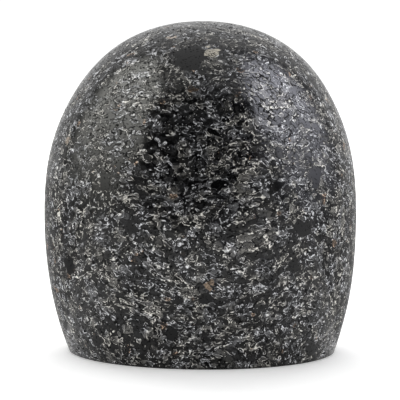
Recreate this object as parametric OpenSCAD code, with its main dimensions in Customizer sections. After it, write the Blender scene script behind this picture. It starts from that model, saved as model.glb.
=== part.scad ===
// A palm-held massage stone: one block of basalt, ground to a full dome and polished.
// The origin is the centre of the flat underside, and +Z runs up through the crown.
//
// The stone is turned about +Z from one outline. Above the widest ring the outline is
// a quarter of a superellipse, a little fuller than an ellipse. Below the ring it is
// a stretch of a plain ellipse, upright at the ring and drawn in towards the underside.

/* [Overall size] */
// Width across the widest ring
stone_d = 66; // [60:0.5:80]
// Height from the underside to the crown
stone_h = 69.6; // [55:0.1:90]
// Height of the widest ring above the underside
girth_h = 28.1; // [20:0.1:40]

/* [Dome] */
// Fullness of the dome: 2 is an ellipse, and a higher value has squarer shoulders
fullness = 2.23; // [2:0.01:2.8]

/* [Underside] */
// Width of the underside, out to where its edge would be without the bevel
base_d = 56.2; // [45:0.1:59]
// Height and width of the bevel that breaks the edge of the underside
bevel = 0.5; // [0.2:0.1:2]

/* [Hidden] */

// Angle between neighbouring points of the dome's outline, in degrees
dome_step = 2.5;
// Number of straight stretches in the outline of the lower side
side_steps = 16;

girth_r = stone_d / 2;
dome_h = stone_h - girth_h;
// Depth below the widest ring at which the lower side's ellipse would close
side_depth = girth_h / sqrt(1 - pow(base_d / stone_d, 2));

// Distance of the lower side from the axis at a height z
function side_r(z) = girth_r * sqrt(1 - pow((girth_h - z) / side_depth, 2));

// Point of the dome's outline at an angle above the widest ring
function dome_point(angle) = [
    girth_r * pow(cos(angle), 2 / fullness),
    girth_h + dome_h * pow(sin(angle), 2 / fullness)
];

side_outline = [
    for (i = [0 : side_steps])
        let (z = bevel + (girth_h - bevel) * i / side_steps)
            [side_r(z), z]
];
dome_outline = [for (angle = [dome_step : dome_step : 90 - dome_step]) dome_point(angle)];

module stone() {
    underside = [[0, 0], [side_r(bevel) - bevel, 0]];
    crown = [[0, stone_h]];
    color([0.13, 0.13, 0.14])
        rotate_extrude($fn = 180)
            polygon(concat(underside, side_outline, dome_outline, crown));
}

stone();
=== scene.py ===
import math

import bmesh
import bpy
import numpy as np
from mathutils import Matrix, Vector, noise


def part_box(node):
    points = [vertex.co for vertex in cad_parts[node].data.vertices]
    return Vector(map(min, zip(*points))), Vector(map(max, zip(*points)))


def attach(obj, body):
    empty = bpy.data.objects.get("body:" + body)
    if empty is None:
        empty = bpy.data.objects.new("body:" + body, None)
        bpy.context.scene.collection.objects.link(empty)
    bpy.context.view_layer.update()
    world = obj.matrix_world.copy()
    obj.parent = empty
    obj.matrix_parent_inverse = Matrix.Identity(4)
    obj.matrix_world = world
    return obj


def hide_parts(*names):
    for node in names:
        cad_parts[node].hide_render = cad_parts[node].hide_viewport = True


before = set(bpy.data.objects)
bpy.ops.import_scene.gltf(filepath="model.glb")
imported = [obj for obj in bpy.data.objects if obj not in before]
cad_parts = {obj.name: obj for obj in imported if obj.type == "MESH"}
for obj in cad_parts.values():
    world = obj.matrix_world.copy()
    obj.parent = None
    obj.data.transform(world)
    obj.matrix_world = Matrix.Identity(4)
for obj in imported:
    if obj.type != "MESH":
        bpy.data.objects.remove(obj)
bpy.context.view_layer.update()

# A palm-held massage stone of polished basalt. Lengths are in metres, except in the rock's
# material, which works in millimetres.
MM = 0.001

# ---- shape: the CAD outline again, finely divided ----
LOW, HIGH = (Vector(corner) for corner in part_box("stone"))
GIRTH_R = (HIGH.x - LOW.x) / 2
HEIGHT = HIGH.z
GIRTH_H = 0.404 * HEIGHT         # height of the widest ring
FULLNESS = 2.23                  # superellipse exponent of the dome
BASE_R = 0.8508 * GIRTH_R        # where the side would reach the underside without its edge
EDGE_R = 0.5 * MM                # radius of the rounded edge of the underside
DOME_STEPS = 1500                # steps in the outline, many more than the faces along it
SIDE_STEPS = 600
EDGE_STEPS = 12

SEGMENTS = 480                   # faces around the stone, a multiple of 4
PATCH = SEGMENTS // 4            # faces along one side of the crown's and underside's patch
CAP_SHARE = 0.36                 # share of the outline's length covered by the crown's patch
CAP_STEPS = 400                  # steps in the crown's stretch of the outline
RINGS = 144                      # rows of faces between the two patches
WELD = 0.002 * MM                # points closer than this are joined

SWELL = 0.5 * MM                 # how far the middle of the stone is off its axis, to the left
SWELL_BACK = 0.4 * SWELL         # and how far to the back
WAVE = 0.18 * MM                 # size of the gentle waves left by grinding
WAVE_LENGTH = 17 * MM
WAVE_FREE = 6 * MM               # the waves fade out over this height above the foot


def outline():
    """Points (radius, height) from the crown to the edge of the underside."""
    side_depth = GIRTH_H / math.sqrt(1 - (BASE_R / GIRTH_R) ** 2)
    turn = np.linspace(math.pi / 2, 0, DOME_STEPS)
    dome = np.stack([GIRTH_R * np.cos(turn) ** (2 / FULLNESS),
                     GIRTH_H + (HEIGHT - GIRTH_H) * np.sin(turn) ** (2 / FULLNESS)], 1)
    z = np.linspace(GIRTH_H, EDGE_R, SIDE_STEPS)[1:]
    side = np.stack([GIRTH_R * np.sqrt(1 - ((GIRTH_H - z) / side_depth) ** 2), z], 1)
    turn = np.linspace(0, math.pi / 2, EDGE_STEPS)[1:]
    edge_centre = side[-1, 0] - EDGE_R
    edge = np.stack([edge_centre + EDGE_R * np.cos(turn), EDGE_R - EDGE_R * np.sin(turn)], 1)
    return np.concatenate([dome, side, edge])


def spread(points, start, stop, count):
    """count + 1 points at equal steps of length along an outline."""
    steps = np.hypot(*np.diff(points, axis=0).T)
    length = np.concatenate([[0], np.cumsum(steps)])
    at = np.linspace(start, stop, count + 1) * length[-1]
    return np.stack([np.interp(at, length, points[:, k]) for k in (0, 1)], 1)


def square_to_disc(count):
    """A square grid of points laid over a disc: (share of the radius, angle)."""
    side = np.linspace(-1, 1, count + 1)
    x, y = np.meshgrid(side, side)
    wide = np.abs(x) > np.abs(y)
    reach = np.where(wide, x, y)
    safe = np.where(reach == 0, 1, reach)
    turn = np.where(wide, y / safe, 2 - x / safe) * math.pi / 4
    return np.abs(reach).ravel(), np.where(reach < 0, turn + math.pi, turn).ravel()


def grid_faces(rows, columns, wrap, start):
    """Four-cornered faces over a grid of points, closed across the columns if wrap."""
    across = columns if wrap else columns - 1
    faces = []
    for row in range(rows - 1):
        for column in range(across):
            after = (column + 1) % columns
            a, b = row * columns + column, row * columns + after
            faces.append([start + a, start + b, start + b + columns, start + a + columns])
    return faces


def turned(radius, height, angle):
    """Points (x, y, z) at a radius, a height and an angle about the stone's axis."""
    return np.stack([radius * np.cos(angle), radius * np.sin(angle), height], -1)


def hand_ground(places):
    """Leans and swells the turned shape a little, as grinding by hand does; the foot stays flat."""
    share = places[:, 2] / HEIGHT
    places[:, 0] -= SWELL * np.sin(math.pi * share)
    places[:, 1] += SWELL_BACK * np.sin(math.pi * share)
    for place in places:
        lift = min(1.0, place[2] / WAVE_FREE)
        push = noise.noise(Vector(place) / WAVE_LENGTH) * WAVE * lift
        place[:2] *= 1 + push / GIRTH_R
        place[2] += push * place[2] / HEIGHT
    return places


def crown_points(points, share, angle):
    """The crown's patch, bent down over the top stretch of the outline."""
    line = spread(points, 0, CAP_SHARE, CAP_STEPS)
    along = np.linspace(0, 1, CAP_STEPS + 1)
    return turned(np.interp(share, along, line[:, 0]), np.interp(share, along, line[:, 1]), angle)


def stone_mesh():
    """Square patches on the crown and the underside, joined by rings down the side."""
    points = outline()
    share, angle = square_to_disc(PATCH)
    crown = crown_points(points, share, angle)
    rows = spread(points, CAP_SHARE, 1, RINGS)
    around = np.arange(SEGMENTS) * 2 * math.pi / SEGMENTS
    rings = turned(rows[:, :1] * np.ones(SEGMENTS), rows[:, 1:] * np.ones(SEGMENTS), around)
    under = turned(share * rows[-1, 0], np.zeros(len(share)), angle)
    places = hand_ground(np.concatenate([crown, rings.reshape(-1, 3), under]))
    faces = grid_faces(PATCH + 1, PATCH + 1, False, 0)
    faces += grid_faces(RINGS + 1, SEGMENTS, True, len(crown))
    faces += grid_faces(PATCH + 1, PATCH + 1, False, len(crown) + (RINGS + 1) * SEGMENTS)

    mesh = bpy.data.meshes.new("basalt_stone")
    mesh.from_pydata(places.tolist(), [], faces)
    shape = bmesh.new()
    shape.from_mesh(mesh)
    bmesh.ops.remove_doubles(shape, verts=shape.verts, dist=WELD)
    bmesh.ops.recalc_face_normals(shape, faces=shape.faces)
    shape.to_mesh(mesh)
    shape.free()
    mesh.shade_smooth()
    return mesh


# ---- materials ----
class Surface:
    """Adds nodes to one material; an input is a number, a triple or another node's output."""

    def __init__(self, name):
        self.material = bpy.data.materials.new(name)
        self.material.use_nodes = True
        self.tree = self.material.node_tree
        self.shader = self.tree.nodes["Principled BSDF"]

    def put(self, socket, value):
        if isinstance(value, bpy.types.NodeSocket):
            self.tree.links.new(value, socket)
        else:
            socket.default_value = value

    def add(self, kind, inputs, **settings):
        """Adds a node with its inputs and settings, and gives its outputs."""
        made = self.tree.nodes.new("ShaderNode" + kind)
        for name, value in settings.items():
            setattr(made, name, value)
        for key, value in inputs.items():
            self.put(made.inputs[key], value)
        return made.outputs

    def math(self, operation, a, b=0.0):
        return self.add("Math", {0: a, 1: b}, operation=operation)[0]

    def times(self, *factors):
        product = factors[0]
        for factor in factors[1:]:
            product = self.math("MULTIPLY", product, factor)
        return product

    def most(self, *values):
        largest = values[0]
        for value in values[1:]:
            largest = self.math("MAXIMUM", largest, value)
        return largest

    def flip(self, value):
        return self.math("SUBTRACT", 1.0, value)

    def step(self, value, low, high, start=0.0, end=1.0):
        """Goes smoothly from start to end while value goes from low to high."""
        ends = {"Value": value, "From Min": low, "From Max": high, "To Min": start, "To Max": end}
        return self.add("MapRange", ends, interpolation_type="SMOOTHSTEP")[0]

    def band(self, value, centre, half_width):
        """1 where value is near centre, falling to 0 at half_width either side."""
        off = self.math("ABSOLUTE", self.math("SUBTRACT", value, centre))
        return self.step(off, half_width * 0.35, half_width, 1.0, 0.0)

    def stretch(self, place, turn, scale):
        """The place in a turned frame, each axis scaled."""
        return self.add("Mapping", {"Vector": place, "Rotation": turn, "Scale": scale})[0]

    def split(self, place):
        """The outputs X, Y and Z of a place."""
        return self.add("SeparateXYZ", {"Vector": place})

    def noise(self, place, size, detail=2.0, rough=0.5):
        """Outputs of a noise with features of about a size: Fac, and Color with three at once."""
        return self.add("TexNoise", {"Vector": place, "Scale": 1 / size, "Detail": detail,
                                     "Roughness": rough})

    def cells(self, place, size):
        """Distance to the nearest of many scattered points, and three random shares for each."""
        made = self.add("TexVoronoi", {"Vector": place, "Scale": 1 / size, "Randomness": 1.0})
        return made["Distance"], self.add("SeparateColor", {"Color": made["Color"]})

    def shift(self, place, by, amount):
        """Moves a place by up to half of amount along a noise's Color."""
        centred = self.add("VectorMath", {0: by, 1: (0.5, 0.5, 0.5)}, operation="SUBTRACT")[0]
        push = self.add("VectorMath", {0: centred, "Scale": amount}, operation="SCALE")[0]
        return self.add("VectorMath", {0: place, 1: push}, operation="ADD")[0]

    def elsewhere(self, place, seed):
        """The place carried far off, so that patterns of different seeds don't line up."""
        away = (seed, seed * 2, -seed)
        return self.add("VectorMath", {0: place, 1: away}, operation="ADD")[0]

    def blend(self, share, a, b):
        """Colour a where share is 0 and b where it is 1."""
        made = self.tree.nodes.new("ShaderNodeMix")
        made.data_type = "RGBA"
        self.put(made.inputs["Factor"], share)
        color_inputs = [socket for socket in made.inputs if socket.type == "RGBA"]
        for socket, value in zip(color_inputs, (a, b)):
            self.put(socket, (*value, 1) if isinstance(value, tuple) else value)
        return next(socket for socket in made.outputs if socket.type == "RGBA")


# ---- basalt: lengths in mm, and paleness from 0, the matrix, to about 1, a bright rim ----
GIRTH = GIRTH_R / MM
TALL = HEIGHT / MM

DRIFT_SIZE, DRIFT = 18.0, 6.0               # slow wandering of the grain
FLOW_TURN = (0.0, math.radians(20), 0.0)    # the grain leans by this
FLOW_SCALE = (0.78, 0.85, 1.12)             # and is longer across than up
RAGGED_SIZE, RAGGED = 1.1, 1.4              # unevenness of the chips' outlines

# Chips of feldspar: kind, size, seed and share kept. Each layer is laid over the ones before it.
CHIPS = [("blobs", 1.9, 7.0, 0.8), ("strips", 1.9, 31.0, 0.50), ("blobs", 1.4, 23.0, 0.4),
         ("strips", 2.3, 11.0, 0.53), ("blobs", 0.9, 41.0, 0.25)]
BODY = (0.012, 0.18)                        # paleness of a chip's body, from the darkest chip on
RIM = (0.06, 1.1)                           # and of its rim
RIM_IN, RIM_HALF = 0.10, 0.12               # the rim's middle, this deep inside the outline
CREVICE_IN, CREVICE_HALF = -0.07, 0.07      # the crevice's middle, just outside the outline
COVER = (-0.14, -0.08)                      # a chip hides what is under it out to here
CREVICE_DARK = 0.95                         # share of the paleness lost in crevices and pits, a painted shade
BLOB_REACH = 0.64                           # radius of the largest blob, as a share of the size
STRIP_HALF = (-0.06, 0.11)                  # half width of a strip as a rise of its noise; it ends at 0
STRIP_DEPTH = 1.7                           # depth for such a rise of 1, as a share of the size
THINNER = 0.13                              # how much smaller the chips are on the upper left

# Fine detail: the sizes of its patterns, and how pale it is
GRAIN_SIZE, GRAIN = 0.35, (0.6, 1.25)       # uneven paleness within the chips
DOT_SIZE, DOT_PALE = 0.45, 0.8              # small separate crystals
MOTTLE_SIZE, MOTTLE_PALE = 1.0, 0.022       # faint patches in the matrix
PIT_SIZE = 0.38
MARK_SIZE, MARK_PALE = 1.2, (0.015, 0.07)   # grinding marks on the underside

# Roughness, from the matrix to the palest chips; in hollows; on the underside
POLISH, HOLLOW_ROUGH, MATT = (0.13, 0.17), 0.75, (0.38, 0.5)
HOLLOW_GLOSS, GLOSS = 0.1, 0.5              # specular level in hollows and elsewhere
INDEX = 1.36                                # index of refraction
RELIEF = 0.04                               # height of a chip above the matrix

CLAST_SIZE = 7.0                            # spacing of the scattered clasts
# Larger smooth black clasts: azimuth in degrees, share of the height, reach
CLASTS = [(-8, 0.902, 3.6), (46, 0.56, 2.2), (-37, 0.54, 1.8), (-56, 0.29, 1.8), (1, 0.22, 1.6),
          (-26, 0.42, 1.5)]
# A few tinted chips: azimuth in degrees, share of the height, reach, colour
FLECKS = [(5, 0.918, 1.7, (0.95, 0.88, 0.74)), (3, 0.255, 1.0, (0.66, 0.49, 0.35)),
          (-63, 0.648, 1.0, (0.84, 0.70, 0.56)), (-27, 0.955, 0.9, (0.85, 0.72, 0.60))]
FLECK_PALE = 0.42

MATRIX = (0.002, 0.002, 0.0022)
COOL_CHIP = (0.92, 0.93, 0.965)
WARM_CHIP = (0.97, 0.94, 0.87)
TAN_CHIP = (0.85, 0.62, 0.46)


def strips(rock, place, size, seed, share):
    """Short curved strips with round ends: (depth inside, tone, glint)."""
    field = rock.noise(rock.elsewhere(place, seed), size, 1.0, 0.4)["Fac"]
    off_line = rock.math("ABSOLUTE", rock.math("SUBTRACT", field, 0.5))
    room = rock.noise(rock.elsewhere(place, -seed), size * 0.9, 1.0)["Fac"]
    half_width = rock.step(room, 0.96 - share, 1.1 - share, *STRIP_HALF)
    depth = rock.times(rock.math("SUBTRACT", half_width, off_line), STRIP_DEPTH * size)
    tone = rock.noise(rock.elsewhere(place, 2 * seed), size, 1.0)["Fac"]
    return depth, rock.step(tone, 0.4, 0.65), rock.step(tone, 0.3, 0.55)


def blobs(rock, place, size, seed, share):
    """Separate chips with rounded outlines: (depth inside, tone of each, glint of each)."""
    distance, odds = rock.cells(rock.elsewhere(place, seed), size)
    reach = rock.step(odds[0], 1.0 - share, 1.0, 0.0, BLOB_REACH)
    depth = rock.times(rock.math("SUBTRACT", reach, distance), size)
    return depth, rock.times(odds[1], odds[1]), odds[2]


def surface_point(azimuth, share):
    """The point on the outline at an azimuth and a share of the height."""
    points = outline()[::-1] / MM
    height = share * TALL
    radius = np.interp(height, points[:, 1], points[:, 0])
    turn = math.radians(azimuth)
    return (radius * math.sin(turn), -radius * math.cos(turn), height)


def near(rock, place, azimuth, share, reach):
    """Rises from 0 at reach away from a point of the surface to 1 at the point."""
    away = rock.add("VectorMath", {0: place, 1: surface_point(azimuth, share)},
                    operation="DISTANCE")["Value"]
    return rock.flip(rock.math("DIVIDE", away, reach))


def clasts(rock, place):
    """1 inside the smooth black clasts, 0 in the open rock."""
    loose = rock.shift(place, rock.noise(place, 3.0)["Color"], 4.0)
    leaning = rock.stretch(loose, (0.3, 0.2, 0.5), (0.8, 1.0, 1.5))
    distance, odds = rock.cells(leaning, CLAST_SIZE)
    reach = rock.step(odds[1], 0.6, 1.0, 0.0, 0.32)
    sharpness = 5.0
    inside = rock.times(rock.math("SUBTRACT", reach, distance), sharpness)
    for azimuth, share, size in CLASTS:
        inside = rock.most(inside, near(rock, loose, azimuth, share, size))
    return rock.step(inside, -0.1, 0.2)


def upper_part(rock, along):
    """1 in about the upper half of the stone, 0 in the lower third."""
    return rock.step(along["Z"], 0.33 * TALL, 0.55 * TALL)


def painted_light_level(rock, along):
    """Paleness over the stone, painted light and shade: lower up the middle and on the left of the
    upper part as painted shade, higher at the sides as painted light."""
    aside = rock.math("ABSOLUTE", along["X"])
    # painted shade up the middle and on the left of the upper part, painted light at the sides
    middle = rock.step(aside, 0.15 * GIRTH, 0.55 * GIRTH, 0.66, 1.15)
    left = rock.step(along["X"], -0.6 * GIRTH, 0.3 * GIRTH, 0.72, 1.0)
    painted_flank_light = rock.step(aside, 0.6 * GIRTH, 0.95 * GIRTH, 0.76, 1.05)
    painted_upper_shade = rock.times(rock.math("SUBTRACT", rock.times(middle, left), 1.0),
                        upper_part(rock, along))
    return rock.times(rock.math("ADD", painted_upper_shade, 1.0), painted_flank_light)


def thinning(rock, along):
    """How much smaller the chips are: by THINNER over a patch on the upper left, fading round it."""
    right_end = rock.step(along["X"], -0.1 * GIRTH, -0.3 * GIRTH, 0.0, THINNER)
    left_end = rock.step(along["X"], -0.75 * GIRTH, -0.55 * GIRTH)
    return rock.times(upper_part(rock, along), right_end, left_end)


def chips(rock, flow, shrink):
    """The layers of chips together: (paleness, crevices round them, relief)."""
    ragged = rock.shift(flow, rock.noise(flow, RAGGED_SIZE, 1.0)["Color"], RAGGED)
    broken = rock.step(rock.noise(flow, 0.8, 1.0)["Fac"], 0.42, 0.56, 0.2, 1.0)
    kinds = {"strips": strips, "blobs": blobs}
    pale, crevice, relief = 0.0, 0.0, 0.0
    for kind, size, seed, share in CHIPS:
        depth, tone, glint = kinds[kind](rock, ragged, size, seed, share)
        depth = rock.math("SUBTRACT", depth, shrink)
        inside = rock.step(depth, -0.02, 0.04)
        body = rock.times(inside, rock.step(tone, 0.0, 1.0, *BODY))
        rim = rock.times(rock.band(depth, RIM_IN, RIM_HALF), rock.step(glint, 0.25, 0.85, *RIM), broken)
        bare = rock.flip(rock.step(depth, *COVER))
        pale = rock.math("ADD", rock.times(pale, bare), rock.most(body, rim))
        crevice = rock.most(rock.times(crevice, bare), rock.band(depth, CREVICE_IN, CREVICE_HALF))
        relief = rock.math("ADD", rock.times(relief, bare), inside)
    return pale, crevice, relief


def underside(rock, place):
    """(1 on the underside, its grinding marks, and the share of paleness kept just above its edge, a
    painted contact shade)
    """
    above = rock.split(place)["Z"]
    foot = rock.step(above, 0.12, 0.03)
    along_marks = rock.stretch(place, (0.0, 0.0, 0.5), (0.12, 2.5, 1.0))
    marks = rock.noise(along_marks, MARK_SIZE)["Fac"]
    return foot, marks, rock.step(above, 0.25, 0.75, 0.3, 1.0)


def chip_color(rock, place, drift):
    """Cool and warm greys in patches, and a few tan chips."""
    tint = rock.noise(drift, 4.0)["Fac"]
    grey = rock.blend(rock.step(tint, 0.4, 0.6), COOL_CHIP, WARM_CHIP)
    tan = rock.step(rock.noise(rock.elsewhere(place, 31.0), 3.0, 1.0)["Fac"], 0.69, 0.72)
    return rock.blend(tan, grey, TAN_CHIP)


def rock_places(rock):
    """The place in mm, the same with the grain's slow wandering, and that in the grain's frame."""
    where = rock.add("TexCoord", {})["Object"]
    place = rock.add("VectorMath", {0: where, "Scale": 1 / MM}, operation="SCALE")[0]
    drift = rock.shift(place, rock.noise(place, DRIFT_SIZE, 1.0)["Color"], DRIFT)
    return place, drift, rock.stretch(drift, FLOW_TURN, FLOW_SCALE)


def speckle(rock, place, flow):
    """Paleness of the small crystals and of the faint patches between the chips."""
    dots = rock.noise(rock.elsewhere(place, 71.0), DOT_SIZE, 1.0)["Fac"]
    mottle = rock.noise(flow, MOTTLE_SIZE, 1.0)["Fac"]
    return rock.most(rock.step(dots, 0.69, 0.71, 0.0, DOT_PALE),
                     rock.step(mottle, 0.45, 0.62, 0.0, MOTTLE_PALE))


def with_flecks(rock, place, pale, color, light):
    """The paleness and the colour with the tinted chips laid over them."""
    loose = rock.shift(place, rock.noise(rock.elsewhere(place, 13.0), 1.3)["Color"], 4.0)
    for azimuth, share, size, tinted in FLECKS:
        inside = rock.step(near(rock, loose, azimuth, share, size), 0.0, 0.15)
        color = rock.blend(inside, color, tinted)
        pale = rock.most(pale, rock.times(inside, light, FLECK_PALE))
    return pale, color


def add_polish(rock, pale, hollow, lit, foot, marks):
    """A polish that is dull in the hollows and matt on the underside."""
    polish = rock.step(pale, 0.0, 0.6, *POLISH)
    matt = rock.times(foot, rock.step(marks, 0.3, 0.7, *MATT))
    rough = rock.most(polish, rock.times(hollow, HOLLOW_ROUGH), matt)
    rock.put(rock.shader.inputs["Roughness"], rough)
    gloss = rock.step(lit, 0.0, 1.0, HOLLOW_GLOSS, GLOSS)
    rock.put(rock.shader.inputs["Specular IOR Level"], gloss)
    rock.put(rock.shader.inputs["IOR"], INDEX)


def add_relief(rock, relief, crevice):
    """Chips that stand a little proud, with crevices between them."""
    height = rock.math("SUBTRACT", relief, rock.times(crevice, 0.5))
    bump = rock.add("Bump", {"Height": height, "Strength": 1.0, "Distance": RELIEF * MM})[0]
    rock.put(rock.shader.inputs["Normal"], bump)


def basalt():
    """Black matrix crowded with grey feldspar chips that have pale rims, and a few clasts."""
    rock = Surface("basalt")
    place, drift, flow = rock_places(rock)
    along = rock.split(drift)
    clast = clasts(rock, place)
    pale, crevice, relief = chips(rock, flow, rock.most(clast, thinning(rock, along)))

    grain = rock.step(rock.noise(place, GRAIN_SIZE, 2.0, 0.6)["Fac"], 0.38, 0.62, *GRAIN)
    hollow = rock.most(crevice, rock.step(rock.noise(flow, PIT_SIZE, 1.0)["Fac"], 0.62, 0.66))
    # painted shade in crevices and pits: the share of paleness left there
    lit = rock.flip(rock.times(hollow, CREVICE_DARK))
    # the paleness is scaled by the painted light and shade over the stone
    pale = rock.times(rock.most(rock.times(pale, grain), speckle(rock, place, flow)), lit,
                      rock.flip(clast), painted_light_level(rock, along))
    foot, marks, painted_contact_shade = underside(rock, place)
    ground = rock.times(foot, rock.step(marks, 0.35, 0.65, *MARK_PALE))
    # painted contact shade: the paleness falls to 0.3 just above the foot's edge
    pale = rock.most(rock.times(pale, painted_contact_shade), ground)

    color = chip_color(rock, place, drift)
    pale, color = with_flecks(rock, place, pale, color, rock.times(grain, lit))
    rock.put(rock.shader.inputs["Base Color"], rock.blend(pale, MATRIX, color))
    add_polish(rock, pale, hollow, lit, foot, marks)
    add_relief(rock, relief, crevice)
    return rock.material


def add_stone():
    """The one piece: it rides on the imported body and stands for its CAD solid."""
    stone = bpy.data.objects.new("basalt_stone", stone_mesh())
    bpy.context.collection.objects.link(stone)
    stone.data.materials.append(basalt())
    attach(stone, "root")
    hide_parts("stone")


# ---- stage ----
CENTRE = Vector((0, 0, HEIGHT / 2))
ALL_RAYS = ("camera", "diffuse", "glossy", "transmission", "volume_scatter", "shadow")
REFLECTED = ("glossy",)          # a card that only the polish shows
SEEN = ("camera",)               # a sheet that only the camera sees
UNSEEN = ALL_RAYS[1:]            # a sheet that all but the camera sees
WHITE = (1.0, 1.0, 1.0)

CARD_AWAY = 1.0                  # distance of the two large cards and of the light
FLOOR_SIZE = 2.4
BACKDROP_R = 3.0
KEY_SIZE = (1.3, 0.45)
KEY_GLOW = 5.0                   # brightness of the light's face
KEY_FROM = (-174, 46)            # azimuth and elevation of the light, in degrees
ROOM_UP = (0, 0.35, 0.94)        # the room is brightest this way
ROOM_GLOW = (0.5, 1.1)           # brightness at a right angle to that or further, and that way

LENS, SENSOR = 239, 36           # focal length and sensor width, in mm
CAMERA_AWAY = 17 * GIRTH_R
CAMERA_UP = 4.9                  # elevation of the camera, in degrees
CAMERA_ROLL = 0.4                # its turn about its own axis, in degrees
AIM_LEFT = 0.58 * MM             # the camera is aimed this far left of the stone's axis
AIM_LOW = 2.9 * MM               # and this far below its middle


def toward(azimuth, elevation):
    """Unit vector from the stone: azimuth 0 is the camera's side, 90 the viewer's right."""
    a, e = math.radians(azimuth), math.radians(elevation)
    return Vector((math.sin(a) * math.cos(e), -math.cos(a) * math.cos(e), math.sin(e)))


def aim(obj, place, target):
    obj.location = place
    obj.rotation_euler = (target - place).to_track_quat("-Z", "Y").to_euler()


def stage_object(name, mesh, rays):
    """Adds a piece of the set that only the named kinds of ray meet."""
    obj = bpy.data.objects.new(name, mesh)
    bpy.context.collection.objects.link(obj)
    for kind in ALL_RAYS:
        setattr(obj, "visible_" + kind, kind in rays)
    return obj


def stage_surface(name, grey, glow=0.0):
    """A matt surface of one grey that may glow."""
    surface = Surface(name)
    surface.shader.inputs["Base Color"].default_value = (grey, grey, grey, 1)
    surface.shader.inputs["Roughness"].default_value = 1.0
    surface.shader.inputs["Specular IOR Level"].default_value = 0.0
    surface.shader.inputs["Emission Color"].default_value = (*WHITE, 1)
    surface.shader.inputs["Emission Strength"].default_value = glow
    return surface


def sheet_mesh(name, width, depth, surface):
    """A flat rectangle round the origin."""
    half_w, half_d = width / 2, depth / 2
    corners = [(-half_w, -half_d, 0), (half_w, -half_d, 0), (half_w, half_d, 0), (-half_w, half_d, 0)]
    mesh = bpy.data.meshes.new(name)
    mesh.from_pydata(corners, [], [(0, 1, 2, 3)])
    mesh.materials.append(surface.material)
    return mesh


def card(name, place, target, size, color, glow, soft, lean=0.0):
    """A card met only by reflections.

    glow is its brightness at its foot and two thirds of the way up, soft the share of its
    width over which a side fades in, and lean its turn in its own plane, in degrees.
    """
    surface = stage_surface(name, 0.0)
    across = surface.split(surface.add("TexCoord", {})["Generated"])
    rise = surface.add("MapRange", {"Value": across["Y"], "From Min": 0.0, "From Max": 0.65,
                                    "To Min": glow[0], "To Max": glow[1]})[0]
    left = surface.step(across["X"], 0.0, soft)
    right = surface.step(across["X"], 1.0, 1 - soft)
    head = surface.step(across["Y"], 1.0, 0.85)
    surface.put(surface.shader.inputs["Emission Strength"], surface.times(rise, left, right, head))
    surface.shader.inputs["Emission Color"].default_value = (*color, 1)
    obj = stage_object(name, sheet_mesh(name, *size, surface), REFLECTED)
    aim(obj, place, target)
    obj.rotation_euler.rotate_axis("Z", math.radians(lean))


def cards():
    """A warm card on the left, a cool one on the right, and a dark one between them."""
    card("card_left", CENTRE + toward(-84, 32) * CARD_AWAY, CENTRE, (1.7, 1.5),
         (1.02, 1.02, 0.96), (0.2, 5.8), 0.3, -12)
    card("card_right", CENTRE + toward(88, 32) * CARD_AWAY, CENTRE, (1.5, 1.5),
         (0.95, 0.965, 1.08), (0.2, 7.3), 0.33, 14)
    card("card_dark", CENTRE + toward(0, 28) * 0.40, CENTRE, (0.66, 0.64), WHITE, (0, 0), 0.25)
    behind = Vector((0, 0.505, 0.1 * MM))
    under = behind - Vector((0, 0, 1))
    card("card_behind", behind, under, (2.4, 1.0), WHITE, (0.38, 0.38), 0.01)


def backdrop():
    """A white room that only the camera sees, so that the stone keeps its own reflections."""
    mesh = bpy.data.meshes.new("backdrop")
    shape = bmesh.new()
    bmesh.ops.create_icosphere(shape, subdivisions=3, radius=BACKDROP_R)
    shape.to_mesh(mesh)
    shape.free()
    mesh.materials.append(stage_surface("backdrop", 0.0, 1.1).material)
    stage_object("backdrop", mesh, SEEN)


def floors():
    """One floor that lights the stone, and one a hair above it that the camera sees."""
    size = (FLOOR_SIZE, FLOOR_SIZE)
    stage_object("floor", sheet_mesh("floor", *size, stage_surface("floor", 0.78, 0.15)), UNSEEN)
    shown = sheet_mesh("floor_seen", *size, stage_surface("floor_seen", 0.95, 0.2))
    stage_object("floor_seen", shown, SEEN).location.z = 0.02 * MM


def key_light():
    """A broad, soft light high behind the stone, which doesn't show in its polish."""
    light = bpy.data.lights.new("key", "AREA")
    light.shape = "RECTANGLE"
    light.size, light.size_y = KEY_SIZE
    light.energy = KEY_GLOW * math.pi * light.size * light.size_y
    obj = bpy.data.objects.new("key", light)
    bpy.context.collection.objects.link(obj)
    obj.visible_glossy = False
    aim(obj, CENTRE + toward(*KEY_FROM) * CARD_AWAY, CENTRE)


def room_light():
    """Soft light from all round, stronger from above and behind."""
    world = bpy.data.worlds.new("room")
    bpy.context.scene.world = world
    world.use_nodes = True
    tree = world.node_tree
    coord = tree.nodes.new("ShaderNodeTexCoord")
    lean = tree.nodes.new("ShaderNodeVectorMath")
    lean.operation = "DOT_PRODUCT"
    lean.inputs[1].default_value = ROOM_UP
    level = tree.nodes.new("ShaderNodeMapRange")
    ends = {"From Min": 0.0, "From Max": 1.0, "To Min": ROOM_GLOW[0], "To Max": ROOM_GLOW[1]}
    for name, value in ends.items():
        level.inputs[name].default_value = value
    tree.links.new(coord.outputs["Generated"], lean.inputs[0])
    tree.links.new(lean.outputs["Value"], level.inputs["Value"])
    tree.links.new(level.outputs[0], tree.nodes["Background"].inputs["Strength"])
    tree.nodes["Background"].inputs["Color"].default_value = (*WHITE, 1)


def camera():
    """A long lens, a little above level."""
    lens = bpy.data.cameras.new("camera")
    lens.sensor_width = SENSOR
    lens.lens = LENS
    obj = bpy.data.objects.new("camera", lens)
    bpy.context.collection.objects.link(obj)
    target = CENTRE + Vector((-AIM_LEFT, 0, -AIM_LOW))
    aim(obj, CENTRE + toward(0, CAMERA_UP) * CAMERA_AWAY, target)
    obj.rotation_euler.rotate_axis("Z", math.radians(CAMERA_ROLL))
    bpy.context.scene.camera = obj


add_stone()
floors()
backdrop()
cards()
key_light()
room_light()
camera()
bpy.context.scene.view_settings.view_transform = "Standard"
